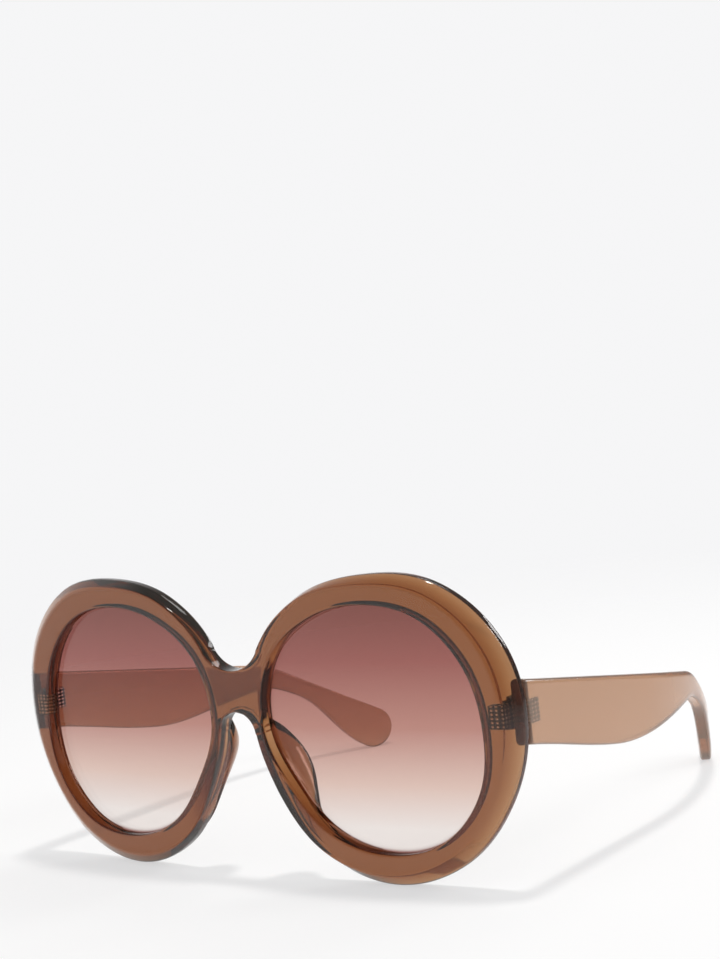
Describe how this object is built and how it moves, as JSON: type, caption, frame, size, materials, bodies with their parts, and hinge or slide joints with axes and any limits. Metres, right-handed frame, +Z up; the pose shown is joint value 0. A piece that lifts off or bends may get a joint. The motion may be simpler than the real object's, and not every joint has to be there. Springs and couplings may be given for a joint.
{
  "type": "oversized sunglasses",
  "caption": "Oversized round sunglasses with a thick bevelled moulded front, gradient lenses, fixed nose pads and wide temples that fold on metal barrel hinges.",
  "frame": {"origin": "on the table under the middle of the bounding box, the temples open", "axes": "+X to the wearer's left, across the front; +Y from the face of the front back along the temples; +Z up"},
  "size_m": [0.1508, 0.136, 0.0724],
  "materials": {
    "front_plastic": "polished clear brown plastic",
    "temple_plastic": "polished clear brown plastic, paler than the front",
    "lens_tint": "polished, tinted rosy brown above and fading to clear below",
    "hinge_metal": "nickel silver with knurled anchors",
    "screw_metal": "plain slotted screw"
  },
  "bodies": {
    "front": {"frame_front": "front_plastic", "left_lens": "lens_tint", "right_lens": "lens_tint", "left_nose_pad": "front_plastic", "right_nose_pad": "front_plastic", "left_front_hinge_leaf": "hinge_metal", "right_front_hinge_leaf": "hinge_metal", "left_hinge_screw": "screw_metal", "right_hinge_screw": "screw_metal"},
    "left_temple": {"left_temple": "temple_plastic", "left_temple_hinge_leaf": "hinge_metal"},
    "right_temple": {"right_temple": "temple_plastic", "right_temple_hinge_leaf": "hinge_metal"}
  },
  "joints": [
    {"name": "left_temple_fold", "type": "hinge", "parent": "front", "child": "left_temple", "pos_m": [0.0701, -0.05683, 0.03945], "axis": [0, 0, 1], "range_deg": [0, 81]},
    {"name": "right_temple_fold", "type": "hinge", "parent": "front", "child": "right_temple", "pos_m": [-0.0701, -0.05683, 0.03945], "axis": [0, 0, -1], "range_deg": [0, 70]}
  ]
}
